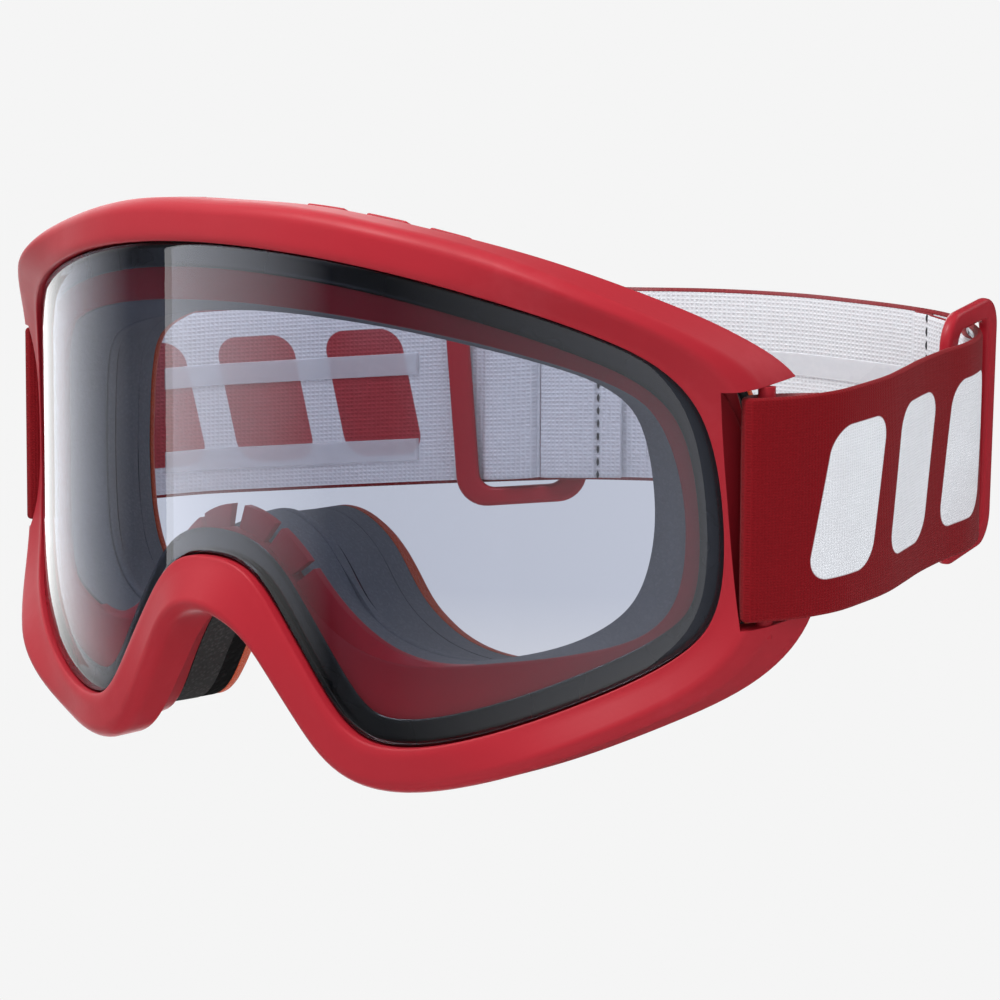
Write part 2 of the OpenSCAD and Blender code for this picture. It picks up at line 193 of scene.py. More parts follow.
def inside_lens(curve, depth):
    """A curve drawn on a cylinder that lies depth inside the lens's front."""
    a = curve[:, 0] / LENS_R
    r = LENS_R - depth
    return np.stack([r * np.sin(a), LENS_R - r * np.cos(a), curve[:, 1]], 1)


def on_lens(curve, back):
    """A curve on the lens's own cylinder, moved straight back."""
    return inside_lens(curve, 0) + [0, back, 0]


def on_rim(curve, back):
    """A curve on the rear shell's back, moved straight back."""
    x = curve[:, 0]
    return np.stack([x, RIM_Y + RIM_R - np.sqrt(RIM_R**2 - x * x) + back, curve[:, 1]], 1)


def on_face(curve):
    """A curve on the surface that meets the face."""
    x = curve[:, 0]
    return np.stack([x, SEAT_DEPTH + FACE_R - np.sqrt(FACE_R**2 - x * x), curve[:, 1]], 1)


def bridged(points):
    """Draws the bridge of the nose and the temples forward."""
    out = points.copy()
    side = np.clip((np.abs(out[:, 0]) - FLARE_FROM) / FLARE_SPAN, 0, 1)
    out[:, 1] -= FLARE * side * side * (3 - 2 * side)
    out[:, 1] -= np.where(out[:, 2] < 0, NOSE_OUT * np.exp(-(out[:, 0] / NOSE_SPREAD) ** 2), 0)
    return out


LENS_LINE, BEZEL_LINE, WALL_LINE, SEAT_LINE, RIM_LINE, OPEN_LINE = [
    eased(closed_curve(h)) for h in (LENS_HALF, BEZEL_HALF, WALL_HALF, SEAT_HALF, RIM_HALF, OPEN_HALF)]
STATIONS = len(LENS_LINE)


def spline(points, per=8):
    """A smooth open curve through points, and the place along them of each sample."""
    p = np.array(points, float)
    last = len(p) - 1
    out = [bend(p[max(i - 1, 0)], p[i], p[i + 1], p[min(i + 2, last)], j / per)
           for i in range(last) for j in range(per)]
    return np.array(out + [p[-1]])


def route_at(u):
    """The strap's middle at place u, counted in points of its route."""
    p = np.array(ROUTE, float)
    last = len(p) - 1
    i = min(int(u), last - 1)
    return bend(p[max(i - 1, 0)], p[i], p[i + 1], p[min(i + 2, last)], u - i)


def route_length(u):
    """Length of the strap from its left bar to place u, in metres."""
    p = np.array([route_at(u * k / 400) for k in range(401)])
    return float(np.linalg.norm(np.diff(p, axis=0), axis=1).sum()) / 1000


def stretch(a, b, count):
    """The strap's middle from place a to place b."""
    return np.array([route_at(a + (b - a) * k / count) for k in range(count + 1)])


def both_halves(spans):
    """Spans of stations on the right half, and their mirror images on the left one."""
    return spans + [(STATIONS - b, STATIONS - a) for a, b in spans]


# ---------------------------------------------------------------- meshes
def to_frame(points):
    """Metres in the frame's axes, from millimetres behind the lens."""
    return (np.asarray(points, float) - [0, SEAT_DEPTH, 0]) / 1000


def placed(name, data):
    """A new object in the scene."""
    obj = bpy.data.objects.new(name, data)
    bpy.context.scene.collection.objects.link(obj)
    return obj


def finished(name, verts, faces, material, smooth=True):
    """A new piece from points in millimetres, with its faces turned outwards."""
    mesh = bpy.data.meshes.new(name)
    mesh.from_pydata([tuple(v) for v in to_frame(verts)], [], faces)
    bm = bmesh.new()
    bm.from_mesh(mesh)
    bmesh.ops.recalc_face_normals(bm, faces=bm.faces)
    bm.to_mesh(mesh)
    bm.free()
    mesh.polygons.foreach_set("use_smooth", [smooth] * len(mesh.polygons))
    obj = placed(name, mesh)
    for m in material if isinstance(material, (list, tuple)) else [material]:
        mesh.materials.append(m)
    return obj


def filleted(rails, radii, arc=5, fill=1):
    """Rounds the corners of a section given as a loop of rails, and fills its sides with more rails."""
    rails = [np.asarray(r, float) for r in rails]
    k = len(rails)
    out = []
    for i in range(k):
        a, b, c = rails[i - 1], rails[i], rails[(i + 1) % k]
        la = np.linalg.norm(a - b, axis=1)[:, None]
        lc = np.linalg.norm(c - b, axis=1)[:, None]
        pa = b + (a - b) / la * np.minimum(radii[i], 0.48 * la)
        pc = b + (c - b) / lc * np.minimum(radii[i], 0.48 * lc)
        for t in np.linspace(0, 1, arc):
            out.append((1 - t) ** 2 * pa + 2 * t * (1 - t) * b + t * t * pc)
    if fill < 2:
        return out
    full = []
    for i, r in enumerate(out):
        full.append(r)
        if i % arc == arc - 1:
            nxt = out[(i + 1) % len(out)]
            full += [mixed(r, nxt, j / fill) for j in range(1, fill)]
    return full


def hoop(name, rails, material):
    """A closed hoop whose section is a loop of rails."""
    k, n = len(rails), len(rails[0])
    faces = [(i * n + j, ((i + 1) % k) * n + j, ((i + 1) % k) * n + (j + 1) % n, i * n + (j + 1) % n)
             for i in range(k) for j in range(n)]
    return finished(name, np.concatenate(rails), faces, material)


def lined(obj, first, last):
    """Gives a hoop's faces its second material, between two of its rails."""
    faces = obj.data.polygons
    faces.foreach_set("material_index", [int(first <= k // STATIONS < last) for k in range(len(faces))])


def patches(name, rails, spans, material):
    """Short closed pieces of a hoop, each from one station to another."""
    verts, faces = [], []
    k = len(rails)
    for a, b in spans:
        cols = [j % len(rails[0]) for j in range(a, b + 1)]
        m, base = len(cols), len(verts)
        for r in rails:
            verts += [r[c] for c in cols]
        faces += [(base + i * m + j, base + ((i + 1) % k) * m + j, base + ((i + 1) % k) * m + j + 1,
                   base + i * m + j + 1) for i in range(k) for j in range(m - 1)]
        faces.append([base + i * m for i in range(k)])
        faces.append([base + i * m + m - 1 for i in range(k)])
    return finished(name, np.array(verts), faces, material)


def softened(obj, width, segments=3, angle=35):
    """Rounds the hard edges of a piece."""
    mod = obj.modifiers.new("Rounded edges", "BEVEL")
    mod.width = width / 1000
    mod.segments = segments
    mod.limit_method = "ANGLE"
    mod.angle_limit = math.radians(angle)
    return settled(obj)


def settled(obj):
    """Applies a piece's modifiers."""
    evaluated = obj.evaluated_get(bpy.context.evaluated_depsgraph_get())
    mesh = bpy.data.meshes.new_from_object(evaluated)
    obj.modifiers.clear()
    obj.data = mesh
    return obj


def frames_along(path):
    """Inward side and length so far at each point of a path seen from above."""
    t = np.gradient(path, axis=0)
    flat = np.hypot(t[:, 0], t[:, 1])
    inward = np.stack([t[:, 1] / flat, -t[:, 0] / flat, np.zeros(len(path))], 1)
    run = np.concatenate([[0], np.cumsum(np.linalg.norm(np.diff(path, axis=0), axis=1))])
    return inward, run / 1000


def webbing(name, path, materials, thick=STRAP_T, low=-STRAP_W / 2, high=STRAP_W / 2, side=0.0,
            start=0.0, rows=6, edge=None):
    """Woven band along a path: rounded edges, and a UV map of metres along and across it.

    side moves it inwards by that much, as one number or one for each point of the path. Faces on the
    inner side take the second material.
    """
    inward, run = frames_along(path)
    side = np.broadcast_to(np.asarray(side, float), (len(path),))
    r = edge if edge is not None else thick / 2 * 0.95
    corner = [(math.cos(a) * r, math.sin(a) * r) for a in np.linspace(0, math.pi / 2, 4)]
    half = thick / 2 - r
    section = [(half + c, high - r + s) for c, s in corner]
    section += [(-half - c, high - r + s) for c, s in reversed(corner)]
    section += [(-half - r, high - r - (high - low - 2 * r) * j / rows) for j in range(1, rows)]
    section += [(-half - c, low + r - s) for c, s in corner]
    section += [(half + c, low + r - s) for c, s in reversed(corner)]
    section += [(half + r, low + r + (high - low - 2 * r) * j / rows) for j in range(1, rows)]
    k, n = len(section), len(path)
    verts = np.concatenate([path + inward * (side + off)[:, None] + [0, 0, z] for off, z in section])
    faces = [(i * n + j, ((i + 1) % k) * n + j, ((i + 1) % k) * n + j + 1, i * n + j + 1)
             for i in range(k) for j in range(n - 1)]
    faces.append([i * n for i in range(k)])
    faces.append([i * n + n - 1 for i in range(k)])
    obj = finished(name, verts, faces, materials)
    uv = obj.data.uv_layers.new(name="Webbing")
    where = [(start + run[v % n], section[v // n][1] / 1000) for v in range(len(verts))]
    for p in obj.data.polygons:
        for li in p.loop_indices:
            uv.data[li].uv = where[obj.data.loops[li].vertex_index]
        offs = [section[v // n][0] for v in p.vertices]
        p.material_index = 1 if len(materials) > 1 and min(offs) > 0 else 0
    return obj


# ---------------------------------------------------------------- finishes
def paint(r, g, b):
    """Linear colour from 0 to 255 values."""
    return tuple(((c / 255 + 0.055) / 1.055) ** 2.4 if c > 10 else c / 255 / 12.92
                 for c in (r, g, b)) + (1.0,)


def dimmed(colour, share):
    """A darker version of a linear colour."""
    return tuple(share * c for c in colour[:3]) + (1,)


class Finish:
    """A procedural material being put together."""

    def __init__(self, name):
        self.material = bpy.data.materials.new(name)
        self.material.use_nodes = True
        self.tree = self.material.node_tree
        self.shader = self.tree.nodes["Principled BSDF"]

    def node(self, kind, inputs=None, **settings):
        n = self.tree.nodes.new(kind)
        for key, value in settings.items():
            setattr(n, key, value)
        for key, value in (inputs or {}).items():
            self.put(n.inputs[key], value)
        return n

    def put(self, socket, value):
        if isinstance(value, bpy.types.NodeSocket):
            self.tree.links.new(value, socket)
        else:
            socket.default_value = value

    def maths(self, operation, a, b=0.0):
        return self.node("ShaderNodeMath", {0: a, 1: b}, operation=operation).outputs[0]

    def place(self):
        return self.node("ShaderNodeTexCoord").outputs["Object"]

    def grain(self, scale, detail, rough=0.55):
        return self.node("ShaderNodeTexNoise", {"Vector": self.place(), "Scale": scale, "Detail": detail,
                                                "Roughness": rough}).outputs[0]

    def between(self, value, low, high, new_low, new_high):
        return self.node("ShaderNodeMapRange", {"Value": value, "From Min": low, "From Max": high,
                                                "To Min": new_low, "To Max": new_high}).outputs[0]

    def tint(self, share, a, b):
        n = self.node("ShaderNodeMix", data_type="RGBA", blend_type="MIX")
        self.put(n.inputs[0], share)
        self.put(n.inputs[6], a)
        self.put(n.inputs[7], b)
        return n.outputs[2]

    def bump(self, height, distance, strength):
        n = self.node("ShaderNodeBump", {"Height": height, "Distance": distance, "Strength": strength})
        self.put(self.shader.inputs["Normal"], n.outputs[0])

    def show(self, node):
        """Makes another shader the material's surface."""
        self.put(self.tree.nodes["Material Output"].inputs["Surface"], node.outputs[0])
        self.tree.nodes.remove(self.shader)

    def set(self, **values):
        for key, value in values.items():
            self.put(self.shader.inputs[key.replace("_", " ")], value)
        return self.material


def moulded(name, colour, worn, rough=0.46, coarse=0.12):
    """Satin moulded plastic: fine spark-eroded grain, cloudy gloss, a little handling wear."""
    f = Finish(name)
    cloud = f.grain(38, 4)
    fine = f.grain(1500, 2)
    rub = f.between(f.grain(14, 6, 0.7), 0.56, 0.72, 0.0, 0.35)
    base = f.tint(f.between(cloud, 0.35, 0.65, 0.0, 0.3), colour, dimmed(colour, 0.86))
    base = f.tint(rub, base, worn)
    f.bump(fine, 0.00012, coarse)
    return f.set(Base_Color=base, Roughness=f.between(cloud, 0.3, 0.7, rough - 0.06, rough + 0.08),
                 Specular_IOR_Level=0.2)


def foam(name, colour, pore_shade_and_mottle, pore_scale=620, rough=0.95, depth=0.0005):
    """Open-cell foam: small round pores with painted shade in them, uneven colour."""
    f = Finish(name)
    cell = f.node("ShaderNodeTexVoronoi", {"Vector": f.place(), "Scale": pore_scale, "Randomness": 1.0})
    pore = f.between(cell.outputs["Distance"], 0.1, 0.55, 0.0, 1.0)
    lump = f.grain(90, 5)
    height = f.maths("ADD", f.maths("MULTIPLY", pore, -0.7), lump)
    f.bump(height, depth, 0.8)
    # Pores darken where the bump sinks: painted shade in the pores. The lumps below only vary the tone.
    base = f.tint(f.maths("MULTIPLY", pore, 0.55), colour, pore_shade_and_mottle)
    base = f.tint(f.between(lump, 0.35, 0.7, 0.0, 0.25), base, pore_shade_and_mottle)
    return f.set(Base_Color=base, Roughness=f.between(lump, 0.3, 0.7, rough - 0.07, rough),
                 Specular_IOR_Level=0.2)


def fleece(name, colour, light):
    """Brushed face fabric: short pile that catches light at its edges, with painted highlights on the raised
    pile.
    """
    f = Finish(name)
    pile = f.grain(2600, 3, 0.7)
    nap = f.grain(160, 4)
    f.bump(f.maths("ADD", pile, f.maths("MULTIPLY", nap, 0.6)), 0.00045, 0.9)
    # Raised pile is tinted towards the lighter colour: a painted highlight on the pile tips.
    base = f.tint(f.between(pile, 0.42, 0.75, 0.0, 0.5), colour, light)
    f.set(Sheen_Weight=0.45, Sheen_Roughness=0.4)
    return f.set(Base_Color=base, Roughness=f.between(nap, 0.3, 0.7, 0.88, 0.98),
                 Specular_IOR_Level=0.15)


def bars(f, u, v):
    """Slanted round-cornered bars woven into the strap's two sides, as a mask."""
    pitch, half_w, half_h, corner, lean = 0.0235, 0.0083, 0.0128, 0.0045, 0.22
    # the right side's bars stand a little further along than the left side's
    right_shift = f.maths("MULTIPLY", f.maths("GREATER_THAN", u, route_length(15)), 0.011)
    slid = f.maths("ADD", f.maths("ADD", u, right_shift), f.maths("MULTIPLY", v, lean))
    cell = f.maths("SUBTRACT", f.maths("FLOORED_MODULO", slid, pitch), pitch / 2)
    dx = f.maths("MAXIMUM", f.maths("SUBTRACT", f.maths("ABSOLUTE", cell), half_w - corner), 0.0)
    dz = f.maths("MAXIMUM", f.maths("SUBTRACT", f.maths("ABSOLUTE", v), half_h - corner), 0.0)
    gap = f.maths("SQRT", f.maths("ADD", f.maths("MULTIPLY", dx, dx), f.maths("MULTIPLY", dz, dz)))
    inside = f.between(gap, corner - 0.0001, corner + 0.0001, 1.0, 0.0)
    count = f.maths("FLOOR", f.maths("DIVIDE", slid, pitch))
    left_last, right_first, right_last = (math.floor(route_length(u_end) / pitch) for u_end in FIGURE_ENDS)
    left = f.maths("MULTIPLY", f.maths("GREATER_THAN", count, 0.5),
                   f.maths("LESS_THAN", count, left_last - 0.5))
    right = f.maths("MULTIPLY", f.maths("GREATER_THAN", count, right_first + 0.5),
                    f.maths("LESS_THAN", count, right_last + 0.5))
    return f.maths("MULTIPLY", inside, f.maths("ADD", left, right))


def woven(name, ground, figure, along, across, depth, thread_dark, edge=None, rough=0.85):
    """Jacquard webbing: threads along and across with painted shade between them, a woven figure, and a
    coloured selvedge.
    """
    f = Finish(name)
    uv = f.node("ShaderNodeUVMap", uv_map="Webbing").outputs[0]
    split = f.node("ShaderNodeSeparateXYZ", {0: uv})
    u, v = split.outputs[0], split.outputs[1]
    wobble = f.grain(260, 2)
    wave_u = f.maths("SINE", f.maths("ADD", f.maths("MULTIPLY", u, 2 * math.pi / along),
                                     f.maths("MULTIPLY", wobble, 1.4)))
    wave_v = f.maths("SINE", f.maths("ADD", f.maths("MULTIPLY", v, 2 * math.pi / across),
                                     f.maths("MULTIPLY", wobble, 1.1)))
    thread = f.maths("MAXIMUM", wave_u, wave_v)
    fuzz = f.grain(3200, 2)
    f.bump(f.maths("ADD", thread, f.maths("MULTIPLY", fuzz, 0.5)), depth, 0.7)
    base = f.tint(bars(f, u, v), ground, figure)
    if edge:
        selvedge = f.maths("GREATER_THAN", f.maths("ABSOLUTE", v), STRAP_W / 2000 - 0.0007)
        base = f.tint(selvedge, base, edge)
    # The low parts of the weave are darkened towards black: painted shade between the threads.
    base = f.tint(f.between(thread, -0.9, 0.7, thread_dark, 0.0), base, (0.0, 0.0, 0.0, 1))
    base = f.tint(f.between(f.grain(22, 4), 0.4, 0.7, 0.0, 0.14), base, dimmed(ground, 0.75))
    f.set(Sheen_Weight=0.04, Sheen_Roughness=0.5)
    return f.set(Base_Color=base, Roughness=f.between(fuzz, 0.3, 0.7, rough - 0.08, rough + 0.08),
                 Specular_IOR_Level=0.12)


def clear_lens_finish(name, tint):
    """Clear hard-coated lens: a grey-blue tint that fades low down as a painted gradient of light and shade,
    and sharp reflections at the edges.
    """
    f = Finish(name)
    height = f.node("ShaderNodeSeparateXYZ", {0: f.place()}).outputs[2]
    # The tint fades to near clear low down: a painted gradient of light and shade on what is seen through the
    # lens.
    shade_gone_below, shade_full_above = -0.036, -0.013
    tint = f.tint(f.between(height, shade_gone_below, shade_full_above, 0.0, 1.0), (0.88, 0.89, 0.93, 1.0), tint)
    facing = f.node("ShaderNodeLayerWeight", {"Blend": 0.5}).outputs["Facing"]
    rise = f.maths("POWER", facing, 4.5)
    share = f.between(rise, 0.0, 1.0, 0.05, 0.85)
    smear = f.grain(24, 5)
    through = f.node("ShaderNodeBsdfTransparent", {"Color": tint})
    mirror = f.node("ShaderNodeBsdfGlossy", {"Color": (1, 1, 1, 1),
                                             "Roughness": f.between(smear, 0.45, 0.8, 0.0, 0.03)})
    mix = f.node("ShaderNodeMixShader", {0: share, 1: through.outputs[0], 2: mirror.outputs[0]})
    f.show(mix)
    return f.material


def printed(name):
    """Glossy black ink band behind the lens."""
    f = Finish(name)
    dust = f.grain(900, 4)
    return f.set(Base_Color=f.tint(f.between(dust, 0.5, 0.8, 0.0, 0.4), paint(14, 16, 18), paint(32, 35, 38)),
                 Roughness=f.between(f.grain(40, 3), 0.3, 0.7, 0.22, 0.34), Specular_IOR_Level=0.5)


def rubber(name, colour, light, rough=0.55, alpha=1.0):
    """Silicone or soft gasket: smooth, with dust in its skin."""
    f = Finish(name)
    f.set(Alpha=alpha)
    dust = f.grain(700, 4, 0.6)
    f.bump(f.grain(1100, 2), 0.00008, 0.25)
    return f.set(Base_Color=f.tint(f.between(dust, 0.45, 0.75, 0.0, 0.3), colour, light),
                 Roughness=f.between(f.grain(60, 3), 0.3, 0.7, rough - 0.08, rough + 0.08),
                 Specular_IOR_Level=0.4)


def thread_finish(name, colour):
    f = Finish(name)
    ply = f.grain(4000, 2)
    f.bump(ply, 0.0001, 0.5)
    return f.set(Base_Color=f.tint(f.between(ply, 0.3, 0.7, 0.0, 0.4), colour, dimmed(colour, 0.5)),
                 Roughness=f.between(ply, 0.3, 0.7, 0.6, 0.8), Specular_IOR_Level=0.3)


FINISHES = {}


def make_finishes(sizes):
    red = tuple(sizes.frame_colour) + (1.0,)
    strap_red = tuple(sizes.strap_colour) + (1.0,)
    white = tuple(sizes.figure_colour) + (1.0,)
    FINISHES.update(
        frame_red=moulded("Moulded red frame", red, paint(196, 74, 84)),
        # The shelf's red is the frame's red darkened, with a darker worn colour: painted shade on the shelf
        # inside the frame.
        seat_red=moulded("Moulded red inner shelf", dimmed(red, 0.8), paint(150, 50, 58), 0.5),
        buckle_red=moulded("Moulded red adjuster", red, paint(200, 80, 88), 0.34, 0.08),
        # Black of the gasket, also painted shade for the shadow line at the bezel's inner edge.
        gasket_black=rubber("Black gasket", paint(12, 12, 13), paint(32, 33, 34)),
        lens_clear=clear_lens_finish("Clear lens", tuple(sizes.lens_tint) + (1.0,)),
        lens_print=printed("Black lens print"),
        # Each foam's second colour is its painted pore shade and its darker mottle.
        vent_foam=foam("Grey vent liner", paint(122, 123, 125), paint(102, 104, 106), 1500, 0.85, 0.0001),
        foam_base=foam("Charcoal foam", paint(68, 66, 66), paint(34, 34, 34), 1100, 0.95, 0.0003),
        foam_middle=foam("Black foam", paint(26, 26, 27), paint(10, 10, 10)),
        # The lighter orange is the painted highlight on the raised pile.
        foam_fleece=fleece("Orange face fabric", paint(196, 70, 30), paint(228, 120, 60)),
        # In each webbing, 0.1 is the share of painted shade between the threads.
        strap_outer=woven("Red webbing, outer side", strap_red, white, 0.00062, 0.0005, 0.00006, 0.1),
        strap_inner=woven("White webbing, inner side", dimmed(white, 0.84), paint(166, 60, 66),
                          0.00095, 0.0008, 0.0001, 0.1, edge=strap_red, rough=0.78),
        silicone_grip=rubber("Clear silicone line", paint(232, 234, 238), paint(250, 250, 252), 0.3, 0.4),
        thread_dark=thread_finish("Dark thread", paint(58, 58, 62)),
    )


# ---------------------------------------------------------------- repeated pieces
def stitch_tree(material):
    """Node tree that lays short stitches along every edge chain of its input."""
    tree = bpy.data.node_groups.new("Stitch rows", "GeometryNodeTree")
    face = tree.interface
    face.new_socket("Geometry", in_out="INPUT", socket_type="NodeSocketGeometry")
    for label, value in (("Spacing", 0.0024), ("Stitch length", 0.0017), ("Thread width", 0.00045)):
        face.new_socket(label, in_out="INPUT", socket_type="NodeSocketFloat").default_value = value
    face.new_socket("Geometry", in_out="OUTPUT", socket_type="NodeSocketGeometry")
    new, link = tree.nodes.new, tree.links.new
    given, result = new("NodeGroupInput"), new("NodeGroupOutput")
    curve = new("GeometryNodeMeshToCurve")
    spaced = new("GeometryNodeResampleCurve")
    spaced.mode = "LENGTH"
    bead = new("GeometryNodeMeshUVSphere")
    bead.inputs["Segments"].default_value = 6
    bead.inputs["Rings"].default_value = 5
    bead.inputs["Radius"].default_value = 0.5
    size = new("ShaderNodeCombineXYZ")
    shaped = new("GeometryNodeTransform")
    tangent = new("GeometryNodeInputTangent")
    turned = new("FunctionNodeAlignRotationToVector")
    turned.axis = "X"
    laid = new("GeometryNodeInstanceOnPoints")
    real = new("GeometryNodeRealizeInstances")
    coloured = new("GeometryNodeSetMaterial")
    coloured.inputs["Material"].default_value = material
    link(given.outputs["Geometry"], curve.inputs[0])
    link(curve.outputs[0], spaced.inputs["Curve"])
    link(given.outputs["Spacing"], spaced.inputs["Length"])
    link(given.outputs["Stitch length"], size.inputs[0])
    link(given.outputs["Thread width"], size.inputs[1])
    link(given.outputs["Thread width"], size.inputs[2])
    link(bead.outputs["Mesh"], shaped.inputs["Geometry"])
    link(size.outputs[0], shaped.inputs["Scale"])
    link(tangent.outputs[0], turned.inputs["Vector"])
    link(spaced.outputs[0], laid.inputs["Points"])
    link(shaped.outputs[0], laid.inputs["Instance"])
    link(turned.outputs[0], laid.inputs["Rotation"])
    link(laid.outputs[0], real.inputs[0])
    link(real.outputs[0], coloured.inputs[0])
    link(coloured.outputs[0], result.inputs[0])
    return tree


def stitched(name, lines, spacing, length, width, material):
    """Stitches along lines given in millimetres, as one plain mesh."""
    mesh = bpy.data.meshes.new(name + "_lines")
    verts, edges = [], []
    for line in lines:
        edges += [(len(verts) + k, len(verts) + k + 1) for k in range(len(line) - 1)]
        verts += [tuple(v) for v in to_frame(line)]
    mesh.from_pydata(verts, edges, [])
    guide = placed(name + "_lines", mesh)
    tree = stitch_tree(material)
    mod = guide.modifiers.new("Stitches", "NODES")
    mod.node_group = tree
    values = {"Spacing": spacing / 1000, "Stitch length": length / 1000, "Thread width": width / 1000}
    for item in tree.interface.items_tree:
        if item.item_type == "SOCKET" and item.in_out == "INPUT" and item.name in values:
            mod[item.identifier] = values[item.name]
    made = bpy.data.meshes.new_from_object(guide.evaluated_get(bpy.context.evaluated_depsgraph_get()))
    guide.modifiers.clear()
    bpy.data.objects.remove(guide)
    made.name = name
    made.polygons.foreach_set("use_smooth", [True] * len(made.polygons))
    return placed(name, made)


def belongs(obj, body, slot, *nodes):
    """Gives a piece its body and hides the nodes that it stands for; slot is not used."""
    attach(obj, body)
    if nodes:
        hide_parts(*nodes)
    return obj


# ---------------------------------------------------------------- settings
class GogglesSizes(bpy.types.PropertyGroup):
    frame_colour: FloatVectorProperty(name="Frame colour", subtype="COLOR",
                                      description="Colour of the moulded frame and adjusters",
                                      default=(0.385, 0.015, 0.026))
    strap_colour: FloatVectorProperty(name="Strap colour", description="Colour of the strap's outer side",
                                      subtype="COLOR", default=(0.21, 0.004, 0.008))
    figure_colour: FloatVectorProperty(name="Figure colour", subtype="COLOR",
                                       description="Colour of the bars and of the inner side",
                                       default=(0.84, 0.86, 0.9))
    lens_tint: FloatVectorProperty(name="Lens tint", description="What each face of the lens lets through",
                                   subtype="COLOR", default=(0.74, 0.765, 0.84))
    print_width: FloatProperty(name="Print width", description="Width of the black band round the lens",
                               unit="LENGTH", default=0.0043)
    edge_round: FloatProperty(name="Bezel edge", description="Rounding of the bezel's outer front edge",
                              unit="LENGTH", default=0.0013)
    stitch_spacing: FloatProperty(name="Stitch spacing", description="Distance from stitch to stitch",
                                  unit="LENGTH", default=0.0024)
    strap_samples: IntProperty(name="Strap samples", description="Points along each stretch of strap",
                               default=120, min=20)
    floor_drop: FloatProperty(name="Floor drop", description="Distance from the goggles down to the floor",
                              unit="LENGTH", default=0.11)


def sizes_now():
    return bpy.context.scene.goggles_sizes


# ---------------------------------------------------------------- the pieces
class GOGGLES_OT_bezel(bpy.types.Operator):
    """Moulded front bezel with its strap slots"""

    bl_idname = "goggles.bezel"
    bl_label = "Bezel"

    def execute(self, context):
        hole = grown(LENS_LINE, LENS_GAP)
        back = LENS_T + 0.6
        edge = sizes_now().edge_round * 1000
        rails = [on_lens(hole, -LIP_H), on_lens(mixed(hole, BEZEL_LINE, 0.15), -LIP_H - 0.5),
                 bridged(on_lens(mixed(hole, BEZEL_LINE, 0.82), -LIP_H - 0.2)),
                 bridged(on_lens(BEZEL_LINE, 0.8)), on_lens(grown(BEZEL_LINE, -0.2), SKIRT_D),
                 on_lens(grown(BEZEL_LINE, -WALL_T), SKIRT_D),
                 on_lens(grown(BEZEL_LINE, -WALL_T - 0.4), back), on_lens(hole, back)]
        obj = hoop("front_bezel_shell", filleted(rails, [0.5, 1.2, edge, edge, 0.7, 0.5, 1.0, 0.2], 6, 2),
                   FINISHES["frame_red"])
        for side in (1, -1):
            bm = bmesh.new()
            bmesh.ops.create_cube(bm, size=1)
            wide = STRAP_W + SLOT_LOW + SLOT_HIGH
            middle = (SLOT_HIGH - SLOT_LOW) / 2
            bmesh.ops.transform(bm, verts=bm.verts,
                                matrix=Matrix.Translation((SLOT_REACH / 2, 0, middle))
                                @ Matrix.Diagonal((SLOT_REACH, SLOT_REACH, wide, 1)))
            place = (Matrix.Translation((SLOT_X, SLOT_Y, PIVOT_Z))
                     @ Matrix.Rotation(math.radians(SIDE_SLANT), 4, "X")
                     @ Matrix.Rotation(math.radians(SIDE_ANGLE), 4, "Z"))
            bmesh.ops.transform(bm, verts=bm.verts, matrix=place)
            coords = np.array([v.co for v in bm.verts]) * [side, 1, 1]
            faces = [[v.index for v in f.verts] for f in bm.faces]
            bm.free()
            cutter = finished("slot_cutter", coords, faces, FINISHES["frame_red"], False)
            mod = obj.modifiers.new("Slot", "BOOLEAN")
            mod.operation = "DIFFERENCE"
            mod.solver = "EXACT"
            mod.object = cutter
            settled(obj)
            bpy.data.objects.remove(cutter)
        bm = bmesh.new()
        bm.from_mesh(obj.data)
        bmesh.ops.remove_doubles(bm, verts=bm.verts, dist=2e-5)
        bmesh.ops.dissolve_degenerate(bm, edges=bm.edges, dist=2e-5)
        bm.to_mesh(obj.data)
        bm.free()
        softened(obj, 0.45, 2, 52)
        obj.data.polygons.foreach_set("use_smooth", [True] * len(obj.data.polygons))
        weigh = obj.modifiers.new("Even shading", "WEIGHTED_NORMAL")
        weigh.keep_sharp = True
        settled(obj)
        belongs(obj, "frame", "frame_red", "front_bezel")
        for node in ("strap_bar_right", "strap_bar_left"):
            dress(node, "frame_red")
        return {"FINISHED"}


def dress(node, finish):
    """Gives a carried-over node its finish."""
    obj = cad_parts[node]
    if not obj.material_slots:
        obj.data.materials.append(FINISHES[finish])
    for s in obj.material_slots:
        s.material = FINISHES[finish]


